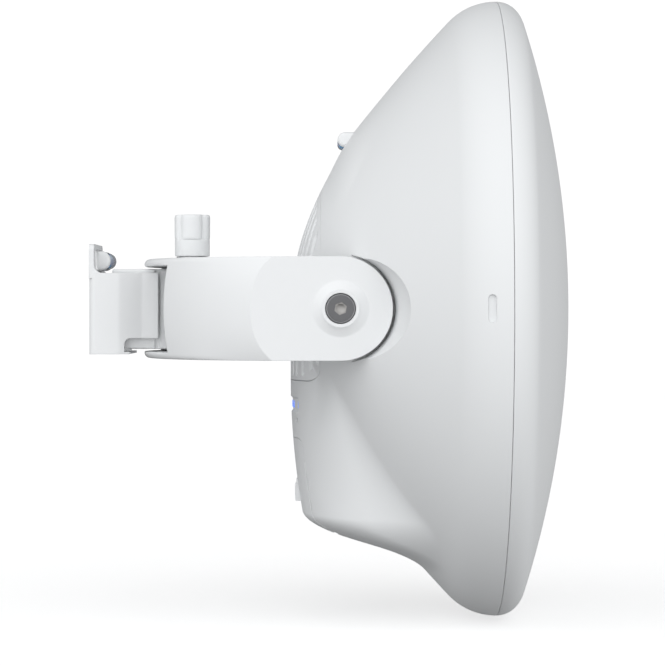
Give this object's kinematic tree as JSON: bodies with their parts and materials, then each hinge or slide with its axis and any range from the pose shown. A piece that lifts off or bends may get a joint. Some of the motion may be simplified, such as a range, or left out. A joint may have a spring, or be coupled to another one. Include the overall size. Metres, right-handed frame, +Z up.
{
  "type": "outdoor wireless bridge",
  "caption": "Covered dish radio for a point-to-point outdoor link, on a tilting and swivelling yoke with a pole bracket, clamp knob, spirit levels and a sliding socket cover.",
  "frame": {"origin": "centre of the pole bracket's back face, level with the tilt axis", "axes": "+X is the beam direction, out of the pole bracket and through the radome; +Z is up; +Y is to the left seen from behind looking along the beam"},
  "size_m": [0.3193, 0.413, 0.413],
  "materials": {
    "white_plastic": "fine satin moulding texture, UV-stable white",
    "painted_metal": "white powder coat on cast or pressed metal, fine satin grain",
    "steel": "dark plated fasteners",
    "dark_plastic": "black plastic",
    "sheet_metal": "bare spun or pressed sheet",
    "circuit_board": "green solder mask on glass-fibre board",
    "thermal_pad": "soft silicone pad",
    "rubber": "black elastomer",
    "clear_vial": "clear blue-tinted vial",
    "light": "translucent blue light guide"
  },
  "bodies": {
    "bracket": {"pole_bracket": "painted_metal", "swivel_hub": "painted_metal", "hub_screw_upper": "steel", "hub_screw_lower": "steel", "swivel_bush": "dark_plastic", "bracket_level_holder": "white_plastic", "bracket_level_vial": "clear_vial"},
    "yoke": {"yoke": "painted_metal", "clamp_nut": "steel", "pivot_bolt_left": "steel", "pivot_bolt_right": "steel", "pivot_washer_left": "dark_plastic", "pivot_washer_right": "dark_plastic"},
    "knob_washer": {"knob_washer": "steel"},
    "knob": {"knob": "white_plastic", "knob_stud": "steel"},
    "dish": {"rear_shell": "white_plastic", "radome": "white_plastic", "rim_seal": "rubber", "heat_sink": "painted_metal", "reflector": "sheet_metal", "feed_tube": "sheet_metal", "feed_support": "dark_plastic", "sub_reflector": "sheet_metal", "radio_board": "circuit_board", "rf_shield": "sheet_metal", "thermal_pad": "thermal_pad", "ethernet_jack": "sheet_metal", "sfp_cage": "sheet_metal", "power_jack": "sheet_metal", "board_screw_1": "steel", "board_screw_2": "steel", "board_screw_3": "steel", "board_screw_4": "steel", "light_pipe": "light", "port_gasket": "rubber", "vent_plug": "dark_plastic", "ground_screw": "steel", "dish_level_holder": "white_plastic", "dish_level_vial": "clear_vial", "pivot_insert_left": "steel", "pivot_insert_right": "steel"},
    "port_cover": {"port_cover": "white_plastic", "cable_grommet": "rubber"},
    "cover_latch": {"cover_latch": "white_plastic"},
    "reset_button": {"reset_button": "dark_plastic"}
  },
  "joints": [
    {"name": "yoke_swivel", "type": "hinge", "parent": "bracket", "child": "yoke", "pos_m": [0.067, 0, 0], "axis": [0, 0, 1], "range_deg": [-20, 20]},
    {"name": "dish_tilt", "type": "hinge", "parent": "yoke", "child": "dish", "pos_m": [0.167, 0, 0], "axis": [0, 1, 0], "range_deg": [-20, 20]},
    {"name": "washer_rise", "type": "slide", "parent": "yoke", "child": "knob_washer", "axis": [0, 0, 1], "range_m": [0, 0.0015]},
    {"name": "knob_turn", "type": "hinge", "parent": "knob_washer", "child": "knob", "pos_m": [0.067, 0, 0], "axis": [0, 0, 1], "range_deg": [0, 360]},
    {"name": "cover_slide", "type": "slide", "parent": "dish", "child": "port_cover", "axis": [0, 0, -1], "range_m": [0, 0.07]},
    {"name": "latch_press", "type": "slide", "parent": "port_cover", "child": "cover_latch", "axis": [1, 0, 0], "range_m": [0, 0.0015], "stiffness_N_per_m": 800},
    {"name": "button_press", "type": "slide", "parent": "dish", "child": "reset_button", "axis": [1, 0, 0], "range_m": [0, 0.0008], "stiffness_N_per_m": 500}
  ],
  "couplings": [
    {"joint": "knob_turn", "follows": "washer_rise", "rad_per_m": 4188.8}
  ]
}
